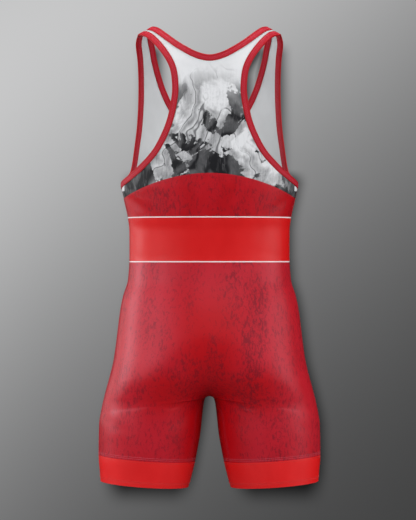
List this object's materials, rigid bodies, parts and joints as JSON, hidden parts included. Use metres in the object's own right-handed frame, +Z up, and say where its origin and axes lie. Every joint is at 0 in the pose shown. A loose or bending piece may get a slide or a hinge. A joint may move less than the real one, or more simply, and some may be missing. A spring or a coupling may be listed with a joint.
{
  "type": "wrestling singlet",
  "caption": "Close-fitting sleeveless suit with a racerback, deep neck and armholes, and mid-thigh legs, filled out as worn, open at neck, arms and hems",
  "frame": {"origin": "midway between the two shoulder straps, level with the middle of their crests, where the wearer's shoulders hold the garment up", "axes": "+Z up, +X to the wearer's right, -Y out of the back, +Y out of the front"},
  "size_m": [0.405, 0.233, 0.8403],
  "materials": {
    "printed_cloth": "smooth stretch knit, pale with a grey and black abstract print",
    "crimson_cloth": "smooth stretch knit, crimson with a dark distressed print, soft sheen",
    "white_stripe": "smooth stretch knit, white",
    "red_cloth": "smooth stretch knit, bright red, soft sheen",
    "red_band": "firm elastic knit, bright red",
    "crimson_tape": "folded elastic tape, crimson"
  },
  "bodies": {
    "root": {"back_yoke": "printed_cloth", "back_chest": "crimson_cloth", "back_stripe_top": "white_stripe", "back_waist": "red_cloth", "back_stripe_low": "white_stripe", "back_seat": "crimson_cloth", "front_yoke": "printed_cloth", "front_chest": "crimson_cloth", "front_stripe_top": "white_stripe", "front_waist": "red_cloth", "front_stripe_low": "white_stripe", "front_lower": "crimson_cloth", "leg_band_right": "red_band", "leg_band_left": "red_band", "neck_binding": "crimson_tape", "armhole_binding_right": "crimson_tape", "armhole_binding_left": "crimson_tape"}
  },
  "joints": []
}
